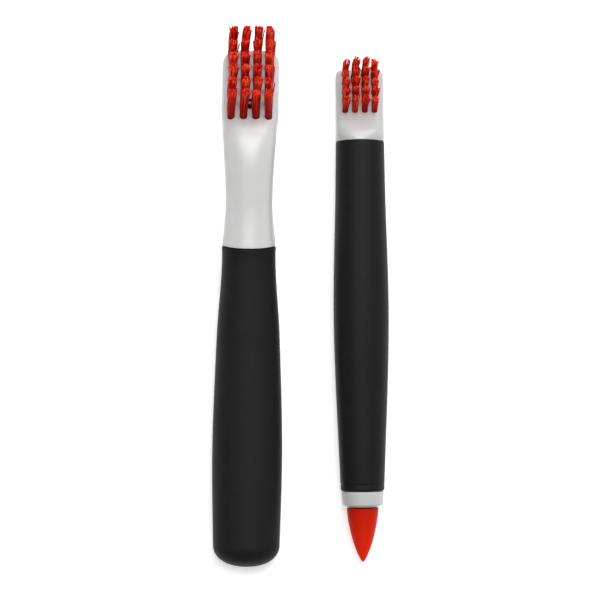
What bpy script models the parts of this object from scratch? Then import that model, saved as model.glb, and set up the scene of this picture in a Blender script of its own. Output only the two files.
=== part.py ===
"""A set of two golf club groove brushes, lying side by side on their backs.

The wide brush has a tilted head with a field of nylon tufts, a neck and a closed rubber grip.
The slim brush has a smaller wedge head, an open rubber sleeve, an end collar and a pick tip.
Lengths run along +Y towards the heads, the bristles point up, and they lie on the plane z = 0.
Each brush is modelled from its end at y = 0, and an empty lays it in its place in the set.
"""

import math
from collections import namedtuple

import bmesh
import bpy
from mathutils import Matrix, Vector

MM = 0.001

# Sizes of one tilted head: its plate, its face, and the rounding of its far corners and edges.
Head = namedtuple("Head", "width length tip_thickness tilt corner_inset corner_length edge")
# Sizes of one tuft field. The margin runs on the face from the head's tip to the last row, the fan
# is how far the end rows lean apart, and the side drop is how much shorter the outer columns are.
Field = namedtuple(
    "Field", "rows columns row_pitch column_pitch margin radius flare length depth fan side_drop"
)

# ---- Layout of the set -----------------------------------------------------------------------
LARGE_PLACE = (-21.22 * MM, -105.05 * MM)
SMALL_PLACE = (24.44 * MM, -103.3 * MM)
LARGE_LAY_ANGLE = math.radians(-0.55)
SMALL_LAY_ANGLE = math.radians(0.43)

# ---- Fits ------------------------------------------------------------------------------------
CLEARANCE = 0.3 * MM
TUFT_CLEARANCE = 0.25 * MM

# ---- Wide brush: grip ------------------------------------------------------------------------
LARGE_GRIP_LENGTH = 124.6 * MM
LARGE_GRIP_WIDTH = 27.5 * MM
LARGE_GRIP_THICKNESS = 20.6 * MM
LARGE_GRIP_WIDEST = 42.0 * MM
LARGE_TAPER_AT = 90.0 * MM
LARGE_TAPER_WIDTH = 24.7 * MM
LARGE_TAPER_THICKNESS = 19.0 * MM
LARGE_LIP_LENGTH = 2.5 * MM
LARGE_BUTT_WIDTH = 25.8 * MM
LARGE_BUTT_THICKNESS = 19.6 * MM
LARGE_BUTT_DOME = 8.4 * MM
LARGE_BUTT_SQUARENESS = 2.2
LARGE_COLLAR_WIDTH = 20.9 * MM
LARGE_COLLAR_THICKNESS = 17.0 * MM
LARGE_LEVEL_LENGTH = 33.0 * MM
LARGE_REST_HEIGHT = 9.5 * MM

# ---- Wide brush: stem, neck and head ---------------------------------------------------------
LARGE_STEM_WIDTH = 12.4 * MM
LARGE_STEM_THICKNESS = 9.0 * MM
LARGE_STEM_START = 24.0 * MM
LARGE_NECK_LENGTH = 46.35 * MM
LARGE_CREST_LENGTH = 14.0 * MM
LARGE_CREST_DROP = math.radians(5.0)
LARGE_NECK_BEND = 4.5 * MM
LARGE_WAIST_AT = 17.5 * MM
LARGE_WAIST_WIDTH = 18.2 * MM
LARGE_WAIST_THICKNESS = 13.4 * MM
LARGE_CREST_WIDTH = 21.1 * MM
LARGE_CREST_THICKNESS = 12.2 * MM
LARGE_HEAD = Head(
    width=22.2 * MM,
    length=33.6 * MM,
    tip_thickness=6.2 * MM,
    tilt=math.radians(30.0),
    corner_inset=4.5 * MM,
    corner_length=6.0 * MM,
    edge=1.0 * MM,
)
LARGE_FIELD = Field(
    rows=6,
    columns=4,
    row_pitch=5.63 * MM,
    column_pitch=4.82 * MM,
    margin=3.0 * MM,
    radius=1.47 * MM,
    flare=1.26,
    length=17.7 * MM,
    depth=3.6 * MM,
    fan=math.radians(2.5),
    side_drop=0.0,
)
GATE_ROW = 1.65
GATE_RADIUS = 0.75 * MM
GATE_DEPTH = 1.5 * MM

# ---- Slim brush: pick tip and end collar -----------------------------------------------------
SMALL_AXIS_HEIGHT = 8.6 * MM
PICK_LENGTH = 21.2 * MM
PICK_RADIUS = 6.2 * MM
# The ogive's radius at a share of its length is (1 - share ** SLIMNESS) ** BLUNTNESS of the full one.
PICK_SLIMNESS = 1.5
PICK_BLUNTNESS = 0.72
PICK_SHANK_RADIUS = 1.9 * MM
PICK_SHANK_PAST_COLLAR = 5.0 * MM
END_BOSS_RADIUS = 6.3 * MM
END_BOSS_LENGTH = 0.7 * MM
END_COLLAR_LENGTH = 5.6 * MM
END_COLLAR_RADIUS = 8.3 * MM
END_COLLAR_TIP_RADIUS = 7.9 * MM
END_COLLAR_EDGE = 0.5 * MM
SPIGOT_RADIUS = 3.6 * MM
SPIGOT_LENGTH = 9.0 * MM

# ---- Slim brush: grip, stem and head ---------------------------------------------------------
SMALL_GRIP_LENGTH = 136.4 * MM
SMALL_GRIP_WIDTH = 21.7 * MM
SMALL_GRIP_THICKNESS = 20.4 * MM
SMALL_GRIP_WIDEST = 70.0 * MM
SMALL_GRIP_END_WIDTH = 17.2 * MM
SMALL_GRIP_END_THICKNESS = 17.2 * MM
SMALL_COLLAR_WIDTH = 19.0 * MM
SMALL_COLLAR_THICKNESS = 18.2 * MM
SMALL_FLARE_LENGTH = 19.0 * MM
SMALL_FLARE_SHARE = 1.03
SMALL_STEM_RADIUS = 5.3 * MM
SMALL_SCOOP_LENGTH = 8.0 * MM
SMALL_BACK_GAP = 0.5 * MM
SMALL_HEAD = Head(
    width=18.8 * MM,
    length=27.7 * MM,
    tip_thickness=4.6 * MM,
    tilt=math.radians(25.0),
    corner_inset=1.8 * MM,
    corner_length=3.2 * MM,
    edge=0.7 * MM,
)
SMALL_FIELD = Field(
    rows=5,
    columns=4,
    row_pitch=3.93 * MM,
    column_pitch=3.8 * MM,
    margin=2.25 * MM,
    radius=1.17 * MM,
    flare=1.28,
    length=11.6 * MM,
    depth=2.8 * MM,
    fan=math.radians(1.5),
    side_drop=1.8 * MM,
)

# ---- Fineness of the solids ------------------------------------------------------------------
RING_POINTS = 28
TURNED_STEPS = 28
TUFT_STEPS = 8
PEG_STEPS = 12
# Where the pick's ogive has its rings, as shares of its length from the point back.
PICK_STATIONS = (0.985, 0.95, 0.88, 0.78, 0.66, 0.53, 0.4, 0.27, 0.14, 0.0)
# The first ring of the butt's dome, as a share of the dome's length, just short of a point.
BUTT_FIRST_RING = 0.0002
# How far a bore's cutter runs past the end that it opens.
OVERSHOOT = 1.0 * MM

# How square a cross-section is: 2 is an ellipse, and a large value nears a rectangle.
GRIP_SQUARENESS = 2.25
NECK_SQUARENESS = 2.3
HEAD_SQUARENESS = 6.0
# The dome on a tuft, as (distance from its axis, distance below its top) in shares of its radius.
TUFT_DOME = ((0.0, 0.0), (0.72, 0.15), (1.0, 0.6))

# One cross-section: its centre, the pitch of the way it faces, its half sizes, how square it is,
# and how far below the centre its back is cut flat, which is nowhere unless it is given.
Section = namedtuple(
    "Section", "y z pitch half_width half_height squareness flat", defaults=(math.inf,)
)


# ---- Curves ----------------------------------------------------------------------------------
def smooth_through(points, at):
    """The height at a place along a smooth curve that never overshoots its (place, height) points."""
    places = [place for place, _ in points]
    steps = [
        (after[1] - before[1]) / (after[0] - before[0])
        for before, after in zip(points, points[1:])
    ]
    slopes = [steps[0]]
    for before, after in zip(steps, steps[1:]):
        slopes.append(0.0 if before * after <= 0 else 2 * before * after / (before + after))
    slopes.append(steps[-1])
    at = min(max(at, places[0]), places[-1])
    i = max(k for k in range(len(points) - 1) if places[k] <= at)
    span = places[i + 1] - places[i]
    t = (at - places[i]) / span
    return (
        (2 * t**3 - 3 * t**2 + 1) * points[i][1]
        + (t**3 - 2 * t**2 + t) * span * slopes[i]
        + (3 * t**2 - 2 * t**3) * points[i + 1][1]
        + (t**3 - t**2) * span * slopes[i + 1]
    )


def walk(stretches, along):
    """(y, z, pitch) at a distance along a path of (length, turn) stretches that starts level."""
    y = z = pitch = 0.0
    for length, turn in stretches:
        part = min(max(along, 0.0), length)
        bend = turn * part / length
        chord = part if abs(bend) < 1e-9 else part * math.sin(bend / 2) / (bend / 2)
        y += chord * math.cos(pitch + bend / 2)
        z += chord * math.sin(pitch + bend / 2)
        pitch += bend
        along -= part
    return y, z, pitch


def spread(start, end, count):
    return [start + (end - start) * k / (count - 1) for k in range(count)]


def quarter_turn(length, count):
    """Distances that step round a quarter ellipse, from its start to its full length."""
    return [length * math.sin(math.radians(90) * k / (count - 1)) for k in range(count)]


def squeeze(from_end, inset, length):
    """How far a rounded corner draws in at a distance from the end."""
    if from_end >= length:
        return 0.0
    return inset * (1 - math.sqrt(1 - ((length - from_end) / length) ** 2))


# ---- Building --------------------------------------------------------------------------------
def clear_scene():
    for item in list(bpy.data.objects):
        bpy.data.objects.remove(item, do_unlink=True)


def new_collection(name):
    made = bpy.data.collections.new(name)
    bpy.context.scene.collection.children.link(made)
    return made


def new_material(name, colour, roughness, metallic=0.0):
    made = bpy.data.materials.new(name)
    made.use_nodes = True
    shader = made.node_tree.nodes["Principled BSDF"]
    shader.inputs["Base Color"].default_value = (*colour, 1.0)
    shader.inputs["Roughness"].default_value = roughness
    shader.inputs["Metallic"].default_value = metallic
    return made


def new_object(name, mesh, home, parent, material=None):
    made = bpy.data.objects.new(name, mesh)
    home.objects.link(made)
    made.parent = parent
    if material and material.name not in mesh.materials:
        mesh.materials.append(material)
    return made


def new_cutter(name, mesh, parent):
    made = new_object(name, mesh, bpy.data.collections["cutters"], parent)
    made.hide_render = True
    made.display_type = "WIRE"
    return made


def cut(target, cutter):
    step = target.modifiers.new("cut " + cutter.name, "BOOLEAN")
    step.operation = "DIFFERENCE"
    step.solver = "EXACT"
    step.object = cutter


def mesh_from(bm, name, sharp_angle=35):
    bmesh.ops.recalc_face_normals(bm, faces=bm.faces)
    mesh = bpy.data.meshes.new(name)
    bm.to_mesh(mesh)
    bm.free()
    mesh.shade_smooth()
    mesh.set_sharp_from_angle(angle=math.radians(sharp_angle))
    return mesh


def ring(section, points):
    """A squared ellipse in the section's own tilted plane, with its back cut flat."""
    power = 2 / section.squareness
    found = []
    for k in range(points):
        angle = 2 * math.pi * (k + 0.5) / points
        across = section.half_width * math.copysign(abs(math.cos(angle)) ** power, math.cos(angle))
        up = section.half_height * math.copysign(abs(math.sin(angle)) ** power, math.sin(angle))
        up = max(up, -section.flat)
        y = section.y - up * math.sin(section.pitch)
        z = section.z + up * math.cos(section.pitch)
        found.append(Vector((across, y, z)))
    return found


def loft(name, sections, points=RING_POINTS):
    """A closed skin over rings with the same number of points, capped at both ends."""
    bm = bmesh.new()
    rings = [[bm.verts.new(at) for at in ring(section, points)] for section in sections]
    for near, far in zip(rings, rings[1:]):
        for k in range(points):
            after = (k + 1) % points
            bm.faces.new((near[k], near[after], far[after], far[k]))
    bm.faces.new(rings[0])
    bm.faces.new(rings[-1])
    return mesh_from(bm, name)


def turned(name, profile, home, parent, material, steps=TURNED_STEPS):
    """An outline of (radius, height), from the top of its outside downwards, turned about Z."""
    bm = bmesh.new()
    corners = [bm.verts.new((radius, 0, height)) for radius, height in profile]
    for near, far in zip(corners, corners[1:]):
        bm.edges.new((near, far))
    if profile[0][0] > 0:
        bm.edges.new((corners[-1], corners[0]))
    mesh = bpy.data.meshes.new(name)
    bm.to_mesh(mesh)
    bm.free()
    made = new_object(name, mesh, home, parent, material)
    turn_profile(made, steps)
    return made


def turn_profile(made, steps):
    turn = made.modifiers.new("turn", "SCREW")
    turn.axis = "Z"
    turn.angle = 2 * math.pi
    turn.steps = steps
    turn.render_steps = steps
    turn.use_merge_vertices = True
    turn.merge_threshold = 0.00001
    turn.use_smooth_shade = True


def pegs(name, places, parent):
    """One cutter of separate round pegs, each a (matrix at its bottom, radius, length)."""
    bm = bmesh.new()
    for matrix, radius, length in places:
        bmesh.ops.create_cone(
            bm,
            cap_ends=True,
            segments=PEG_STEPS,
            radius1=radius,
            radius2=radius,
            depth=length,
            matrix=matrix @ Matrix.Translation((0, 0, length / 2)),
        )
    return new_cutter(name, mesh_from(bm, name), parent)


# ---- Heads and tufts -------------------------------------------------------------------------
def face_frame(head, tip_edge):
    """Axes on a head's face: origin at its tip edge, Y towards the neck, Z out along the tufts."""
    along = Vector((0, -math.cos(head.tilt), math.sin(head.tilt)))
    out = Vector((0, math.sin(head.tilt), math.cos(head.tilt)))
    across = along.cross(out)
    return Matrix.Translation(tip_edge) @ Matrix((across, along, out)).transposed().to_4x4()


def face_place(field, row, column):
    """A place on the face, leaning as its row does. Row 1 is next to the neck, column 1 at -X."""
    x = ((field.columns + 1) / 2 - column) * field.column_pitch
    y = field.margin + (field.rows - row) * field.row_pitch
    lean = field.fan * (2 * (row - 1) / (field.rows - 1) - 1)
    return Matrix.Translation((x, y, 0)) @ Matrix.Rotation(lean, 4, "X")


def tuft_numbers(field):
    rows = range(1, field.rows + 1)
    return [(row, column) for row in rows for column in range(1, field.columns + 1)]


def tuft_holes(name, field, frame, parent, extra=()):
    reach = field.radius + TUFT_CLEARANCE
    down = Matrix.Translation((0, 0, -field.depth))
    holes = [
        (frame @ face_place(field, row, column) @ down, reach, 2 * field.depth)
        for row, column in tuft_numbers(field)
    ]
    return pegs(name, holes + list(extra), parent)


def tuft_length(field, column):
    """The free length above the face, which falls off towards the outer columns."""
    aside = 2 * (column - 1) / (field.columns - 1) - 1
    return field.length - field.side_drop * aside**2


def tuft_profile(field, length):
    """A bundle that stands straight in its hole, spreads a little above it and ends in a low dome."""
    top = length + field.depth - CLEARANCE
    tip = field.radius * field.flare
    dome = [(out * tip, top - down * tip) for out, down in TUFT_DOME]
    return dome + [(field.radius, field.depth), (field.radius, 0.0), (0.0, 0.0)]


def add_tufts(prefix, field, frame, home, parent, material):
    """One object for each tuft. The tufts of a column share a mesh."""
    shared = {}
    bottom = Matrix.Translation((0, 0, CLEARANCE - field.depth))
    for row, column in tuft_numbers(field):
        name = f"{prefix}_tuft_r{row}_c{column}"
        if column in shared:
            made = new_object(name, shared[column], home, parent)
            turn_profile(made, TUFT_STEPS)
        else:
            profile = tuft_profile(field, tuft_length(field, column))
            made = turned(name, profile, home, parent, material, TUFT_STEPS)
            shared[column] = made.data
        made.matrix_local = frame @ face_place(field, row, column) @ bottom


def head_sections(head, spine, crest_half):
    """Sections of a head plate on a straight spine, given as a function of the distance to the tip."""
    taper = (crest_half - head.tip_thickness / 2) / head.length
    rounded = [head.corner_length - d for d in quarter_turn(head.corner_length, 5)]
    edges = [head.edge - d for d in quarter_turn(head.edge, 4)]
    body = spread(head.length, head.corner_length, 5)
    stops = sorted({round(d, 7) for d in body + rounded + edges}, reverse=True)
    found = []
    for from_tip in stops:
        y, z, pitch = spine(from_tip)
        half_width = head.width / 2 - squeeze(from_tip, head.corner_inset, head.corner_length)
        half_height = head.tip_thickness / 2 + taper * from_tip
        edge = squeeze(from_tip, head.edge, head.edge)
        found.append(
            Section(y, z, pitch, half_width - edge, half_height - edge, HEAD_SQUARENESS)
        )
    return found


# ---- Wide brush ------------------------------------------------------------------------------
def large_taper():
    """Half the angle by which the head's face and back close towards its tip."""
    drop = (LARGE_CREST_THICKNESS - LARGE_HEAD.tip_thickness) / 2
    return math.atan2(drop, LARGE_HEAD.length)


def large_stretches(rise):
    """The spine: level at the butt, up through the grip, over a long crest, then down the head."""
    return (
        (LARGE_LEVEL_LENGTH, 0.0),
        (LARGE_GRIP_LENGTH - LARGE_LEVEL_LENGTH, rise),
        (LARGE_NECK_LENGTH - LARGE_CREST_LENGTH - LARGE_NECK_BEND, 0.0),
        (LARGE_CREST_LENGTH, -(rise + LARGE_CREST_DROP)),
        (LARGE_NECK_BEND, LARGE_CREST_DROP + large_taper() - LARGE_HEAD.tilt),
        (LARGE_HEAD.length, 0.0),
    )


def large_spine(along):
    y, z, pitch = walk(LARGE_STRETCHES, along)
    return y, z + LARGE_REST_HEIGHT, pitch


def rise_to_rest():
    """The rise at which the back of the head's tip touches the plane that the grip lies on."""
    low, high = 0.0, math.radians(30)
    for _ in range(40):
        rise = (low + high) / 2
        _, z, pitch = walk(large_stretches(rise), LARGE_LENGTH)
        if z + LARGE_REST_HEIGHT < LARGE_HEAD.tip_thickness / 2 * math.cos(pitch):
            low = rise
        else:
            high = rise
    return high


LARGE_LENGTH = LARGE_GRIP_LENGTH + LARGE_NECK_LENGTH + LARGE_HEAD.length
LARGE_STRETCHES = large_stretches(rise_to_rest())


def large_stem(grow, start, end):
    """The stem inside the grip, or with grow its bore."""
    found = []
    for along in spread(start, end, 9):
        y, z, pitch = large_spine(along)
        half_width = LARGE_STEM_WIDTH / 2 + grow
        half_height = LARGE_STEM_THICKNESS / 2 + grow
        found.append(Section(y, z, pitch, half_width, half_height, NECK_SQUARENESS))
    return found


def large_neck():
    widths = (
        (0.0, LARGE_COLLAR_WIDTH),
        (LARGE_WAIST_AT, LARGE_WAIST_WIDTH),
        (LARGE_NECK_LENGTH, LARGE_CREST_WIDTH),
    )
    heights = (
        (0.0, LARGE_COLLAR_THICKNESS),
        (LARGE_WAIST_AT, LARGE_WAIST_THICKNESS),
        (LARGE_NECK_LENGTH, LARGE_CREST_THICKNESS),
    )
    squareness = (
        (0.0, NECK_SQUARENESS),
        (LARGE_WAIST_AT, NECK_SQUARENESS),
        (LARGE_NECK_LENGTH, HEAD_SQUARENESS),
    )
    found = []
    for past in spread(CLEARANCE, LARGE_NECK_LENGTH, 17)[:-1]:
        y, z, pitch = large_spine(LARGE_GRIP_LENGTH + past)
        half_width = smooth_through(widths, past) / 2
        half_height = smooth_through(heights, past) / 2
        found.append(
            Section(y, z, pitch, half_width, half_height, smooth_through(squareness, past))
        )
    return found


def large_head():
    """The head's plate, which widens from the crest over its first few millimetres."""
    found = head_sections(
        LARGE_HEAD, lambda from_tip: large_spine(LARGE_LENGTH - from_tip), LARGE_CREST_THICKNESS / 2
    )
    return [found[0]._replace(half_width=LARGE_CREST_WIDTH / 2)] + found[1:]


def large_face():
    y, z, pitch = large_spine(LARGE_LENGTH)
    up = LARGE_HEAD.tip_thickness / 2
    edge = Vector((0, y - up * math.sin(pitch), z + up * math.cos(pitch)))
    return face_frame(LARGE_HEAD, edge)


def large_grip_sections():
    lip = LARGE_GRIP_LENGTH - LARGE_LIP_LENGTH
    widths = (
        (0.0, LARGE_BUTT_WIDTH),
        (LARGE_GRIP_WIDEST, LARGE_GRIP_WIDTH),
        (LARGE_TAPER_AT, LARGE_TAPER_WIDTH),
        (lip, LARGE_COLLAR_WIDTH),
        (LARGE_GRIP_LENGTH, LARGE_COLLAR_WIDTH),
    )
    heights = (
        (0.0, LARGE_BUTT_THICKNESS),
        (LARGE_GRIP_WIDEST, LARGE_GRIP_THICKNESS),
        (LARGE_TAPER_AT, LARGE_TAPER_THICKNESS),
        (lip, LARGE_COLLAR_THICKNESS),
        (LARGE_GRIP_LENGTH, LARGE_COLLAR_THICKNESS),
    )
    dome = [LARGE_BUTT_DOME - d for d in quarter_turn(LARGE_BUTT_DOME, 8)]
    level = spread(LARGE_BUTT_DOME, LARGE_LEVEL_LENGTH, 4)
    rising = spread(LARGE_LEVEL_LENGTH, LARGE_GRIP_LENGTH, 14)
    first = BUTT_FIRST_RING * LARGE_BUTT_DOME
    stops = sorted({round(d, 7) for d in dome[:-1] + [first] + level + rising})
    found = []
    for along in stops:
        y, z, pitch = large_spine(along)
        share = 1.0
        if along < LARGE_BUTT_DOME:
            inward = (1 - along / LARGE_BUTT_DOME) ** LARGE_BUTT_SQUARENESS
            share = (1 - inward) ** (1 / LARGE_BUTT_SQUARENESS)
        half_width = share * smooth_through(widths, along) / 2
        half_height = share * smooth_through(heights, along) / 2
        found.append(
            Section(y, z, pitch, half_width, half_height, GRIP_SQUARENESS, LARGE_REST_HEIGHT)
        )
    return found


def build_large(home, parent, white, rubber, nylon):
    core = new_object(
        "large_core",
        loft(
            "large_core",
            large_stem(0.0, LARGE_STEM_START, LARGE_GRIP_LENGTH + CLEARANCE)
            + large_neck()
            + large_head(),
        ),
        home,
        parent,
        white,
    )
    face = large_face()
    gate_column = (LARGE_FIELD.columns + 1) / 2
    gate_place = face @ face_place(LARGE_FIELD, GATE_ROW, gate_column)
    gate_bottom = gate_place @ Matrix.Translation((0, 0, -GATE_DEPTH))
    gate = (gate_bottom, GATE_RADIUS, 2 * GATE_DEPTH)
    cut(core, tuft_holes("large_tuft_holes", LARGE_FIELD, face, parent, [gate]))
    grip = new_object("large_grip", loft("large_grip", large_grip_sections()), home, parent, rubber)
    bore = large_stem(CLEARANCE, LARGE_STEM_START - CLEARANCE, LARGE_GRIP_LENGTH + OVERSHOOT)
    cut(grip, new_cutter("large_bore", loft("large_bore", bore), parent))
    add_tufts("large", LARGE_FIELD, face, home, parent, nylon)


# ---- Slim brush ------------------------------------------------------------------------------
PICK_TO_GRIP = CLEARANCE + END_BOSS_LENGTH + END_COLLAR_LENGTH + CLEARANCE
SMALL_GRIP_START = PICK_LENGTH + PICK_TO_GRIP
SMALL_HEAD_START = SMALL_GRIP_START + SMALL_GRIP_LENGTH + CLEARANCE
SMALL_LENGTH = SMALL_HEAD_START + SMALL_HEAD.length


def small_section(y, top, bottom, half_width, squareness):
    middle = (top + bottom) / 2
    return Section(y, middle, 0.0, half_width, (top - bottom) / 2, squareness, middle)


def small_round(y, width, thickness, squareness=GRIP_SQUARENESS):
    """A section about the grip's axis, cut flat at the plane that the brush lies on."""
    return Section(
        y, SMALL_AXIS_HEIGHT, 0.0, width / 2, thickness / 2, squareness, SMALL_AXIS_HEIGHT
    )


def small_stem(grow, start, end):
    size = 2 * (SMALL_STEM_RADIUS + grow)
    return [small_round(y, size, size, 2.0) for y in spread(start, end, 3)]


def small_face_height(y):
    return SMALL_BACK_GAP + SMALL_HEAD.tip_thickness + (SMALL_LENGTH - y) * math.tan(SMALL_HEAD.tilt)


def small_scoop():
    """From the collar's round section to the head's flat face, over a short scoop."""
    collar_top = SMALL_AXIS_HEIGHT + SMALL_COLLAR_THICKNESS / 2
    end = SMALL_HEAD_START + SMALL_SCOOP_LENGTH
    tops = ((SMALL_HEAD_START, collar_top), (end, small_face_height(end)))
    found = []
    for y in spread(SMALL_HEAD_START, end, 9)[:-1]:
        share = (y - SMALL_HEAD_START) / SMALL_SCOOP_LENGTH
        top = smooth_through(tops, y)
        half_width = (SMALL_COLLAR_WIDTH + share * (SMALL_HEAD.width - SMALL_COLLAR_WIDTH)) / 2
        squareness = GRIP_SQUARENESS + share * (HEAD_SQUARENESS - GRIP_SQUARENESS)
        round_bottom = SMALL_AXIS_HEIGHT - SMALL_COLLAR_THICKNESS / 2
        bottom = round_bottom + share * (SMALL_BACK_GAP - round_bottom)
        found.append(small_section(y, top, bottom, half_width, squareness))
    return found


def small_head():
    rounded = [SMALL_HEAD.corner_length - d for d in quarter_turn(SMALL_HEAD.corner_length, 5)]
    edges = [SMALL_HEAD.edge - d for d in quarter_turn(SMALL_HEAD.edge, 4)]
    plate = SMALL_HEAD.length - SMALL_SCOOP_LENGTH
    body = spread(plate, SMALL_HEAD.corner_length, 5)
    found = []
    for from_tip in sorted({round(d, 7) for d in body + rounded + edges}, reverse=True):
        y = SMALL_LENGTH - from_tip
        inset = squeeze(from_tip, SMALL_HEAD.corner_inset, SMALL_HEAD.corner_length)
        edge = squeeze(from_tip, SMALL_HEAD.edge, SMALL_HEAD.edge)
        found.append(
            small_section(
                y,
                small_face_height(y) - edge,
                SMALL_BACK_GAP + edge,
                SMALL_HEAD.width / 2 - inset - edge,
                HEAD_SQUARENESS,
            )
        )
    return found


def small_face():
    return face_frame(SMALL_HEAD, Vector((0, SMALL_LENGTH, small_face_height(SMALL_LENGTH))))


def small_grip_sections():
    start, end = SMALL_GRIP_START, SMALL_GRIP_START + SMALL_GRIP_LENGTH
    widths = (
        (start, SMALL_GRIP_END_WIDTH),
        (start + SMALL_GRIP_WIDEST, SMALL_GRIP_WIDTH),
        (end - SMALL_FLARE_LENGTH, SMALL_FLARE_SHARE * SMALL_COLLAR_WIDTH),
        (end, SMALL_COLLAR_WIDTH),
    )
    heights = (
        (start, SMALL_GRIP_END_THICKNESS),
        (start + SMALL_GRIP_WIDEST, SMALL_GRIP_THICKNESS),
        (end - SMALL_FLARE_LENGTH, SMALL_FLARE_SHARE * SMALL_COLLAR_THICKNESS),
        (end, SMALL_COLLAR_THICKNESS),
    )
    return [
        small_round(y, smooth_through(widths, y), smooth_through(heights, y))
        for y in spread(start, end, 22)
    ]


def pick_profile():
    """An ogive from the base to a blunt point, and the shank behind it."""
    found = [(0.0, PICK_LENGTH)]
    for share in PICK_STATIONS:
        radius = PICK_RADIUS * (1 - share**PICK_SLIMNESS) ** PICK_BLUNTNESS
        found.append((radius, share * PICK_LENGTH))
    shank_end = -(PICK_TO_GRIP + PICK_SHANK_PAST_COLLAR)
    return found + [(PICK_SHANK_RADIUS, 0.0), (PICK_SHANK_RADIUS, shank_end), (0.0, shank_end)]


def end_collar_profile():
    """A tapered flange with a low boss at its end and a spigot, drilled through for the shank."""
    hole = PICK_SHANK_RADIUS + CLEARANCE
    boss_end = END_COLLAR_LENGTH + END_BOSS_LENGTH
    return [
        (hole, boss_end),
        (END_BOSS_RADIUS, boss_end),
        (END_BOSS_RADIUS, END_COLLAR_LENGTH),
        (END_COLLAR_TIP_RADIUS - END_COLLAR_EDGE, END_COLLAR_LENGTH),
        (END_COLLAR_TIP_RADIUS, END_COLLAR_LENGTH - END_COLLAR_EDGE),
        (END_COLLAR_RADIUS, 0.0),
        (SPIGOT_RADIUS, 0.0),
        (SPIGOT_RADIUS, -SPIGOT_LENGTH),
        (hole, -SPIGOT_LENGTH),
    ]


def build_small(home, parent, white, rubber, nylon, pick_red):
    core = new_object(
        "small_core",
        loft(
            "small_core",
            small_stem(0.0, SMALL_GRIP_START, SMALL_HEAD_START) + small_scoop() + small_head(),
        ),
        home,
        parent,
        white,
    )
    face = small_face()
    cut(core, tuft_holes("small_tuft_holes", SMALL_FIELD, face, parent))
    along_axis = Matrix.Translation((0, SMALL_GRIP_START - CLEARANCE, SMALL_AXIS_HEIGHT))
    along_axis = along_axis @ Matrix.Rotation(math.radians(-90), 4, "X")
    socket = (along_axis, SPIGOT_RADIUS + CLEARANCE, SPIGOT_LENGTH + 2 * CLEARANCE)
    cut(core, pegs("small_spigot_socket", [socket], parent))
    grip = new_object("small_grip", loft("small_grip", small_grip_sections()), home, parent, rubber)
    bore_end = SMALL_GRIP_START + SMALL_GRIP_LENGTH + OVERSHOOT
    bore = small_stem(CLEARANCE, SMALL_GRIP_START - OVERSHOOT, bore_end)
    cut(grip, new_cutter("small_bore", loft("small_bore", bore), parent))
    towards_tip = Matrix.Rotation(math.radians(90), 4, "X")
    collar = turned("small_end_collar", end_collar_profile(), home, parent, white)
    collar_y = SMALL_GRIP_START - CLEARANCE
    collar.matrix_local = Matrix.Translation((0, collar_y, SMALL_AXIS_HEIGHT)) @ towards_tip
    pick = turned("small_pick_tip", pick_profile(), home, parent, pick_red)
    pick.matrix_local = Matrix.Translation((0, PICK_LENGTH, SMALL_AXIS_HEIGHT)) @ towards_tip
    add_tufts("small", SMALL_FIELD, face, home, parent, nylon)


# ---- The set ---------------------------------------------------------------------------------
def lay(name, place, angle, home):
    made = bpy.data.objects.new(name, None)
    home.objects.link(made)
    made.location = (*place, 0.0)
    made.rotation_euler = (0.0, 0.0, angle)
    return made


def main():
    clear_scene()
    home = new_collection("club_groove_brush_set")
    new_collection("cutters")
    large_white = new_material("large_white_plastic", (0.62, 0.62, 0.613), 0.35)
    small_white = new_material("small_white_plastic", (0.62, 0.62, 0.613), 0.35)
    large_rubber = new_material("large_black_rubber", (0.014, 0.014, 0.015), 0.6)
    small_rubber = new_material("small_black_rubber", (0.015, 0.015, 0.016), 0.55)
    large_nylon = new_material("large_red_nylon", (0.62, 0.02, 0.012), 0.4)
    small_nylon = new_material("small_red_nylon", (0.58, 0.018, 0.012), 0.4)
    pick_red = new_material("pick_red", (0.55, 0.018, 0.006), 0.4)
    large = lay("large_brush", LARGE_PLACE, LARGE_LAY_ANGLE, home)
    small = lay("small_brush", SMALL_PLACE, SMALL_LAY_ANGLE, home)
    build_large(home, large, large_white, large_rubber, large_nylon)
    build_small(home, small, small_white, small_rubber, small_nylon, pick_red)


main()
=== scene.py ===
import math
import random
from collections import namedtuple

import bmesh
import bpy
from mathutils import Matrix, Vector


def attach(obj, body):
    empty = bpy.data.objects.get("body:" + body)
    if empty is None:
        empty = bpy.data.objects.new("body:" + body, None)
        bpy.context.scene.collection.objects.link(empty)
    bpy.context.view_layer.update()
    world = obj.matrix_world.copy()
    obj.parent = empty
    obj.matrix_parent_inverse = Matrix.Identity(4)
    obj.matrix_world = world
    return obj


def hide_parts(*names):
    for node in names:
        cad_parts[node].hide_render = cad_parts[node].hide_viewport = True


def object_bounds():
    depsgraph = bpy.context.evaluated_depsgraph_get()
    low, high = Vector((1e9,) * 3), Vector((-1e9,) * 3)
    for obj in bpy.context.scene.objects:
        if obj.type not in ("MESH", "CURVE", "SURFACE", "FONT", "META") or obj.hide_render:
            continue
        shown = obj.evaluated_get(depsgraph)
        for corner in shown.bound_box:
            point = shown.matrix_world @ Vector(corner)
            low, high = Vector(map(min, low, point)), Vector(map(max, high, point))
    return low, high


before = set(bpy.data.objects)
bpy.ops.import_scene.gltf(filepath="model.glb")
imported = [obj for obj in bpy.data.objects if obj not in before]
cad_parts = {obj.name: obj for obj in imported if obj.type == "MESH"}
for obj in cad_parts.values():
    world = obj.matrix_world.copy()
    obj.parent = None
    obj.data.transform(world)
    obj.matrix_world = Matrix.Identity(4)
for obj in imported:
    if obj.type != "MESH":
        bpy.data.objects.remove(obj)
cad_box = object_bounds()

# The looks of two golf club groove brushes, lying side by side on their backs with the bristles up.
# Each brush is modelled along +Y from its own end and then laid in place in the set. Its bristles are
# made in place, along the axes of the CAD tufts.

MM = 0.001

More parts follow.
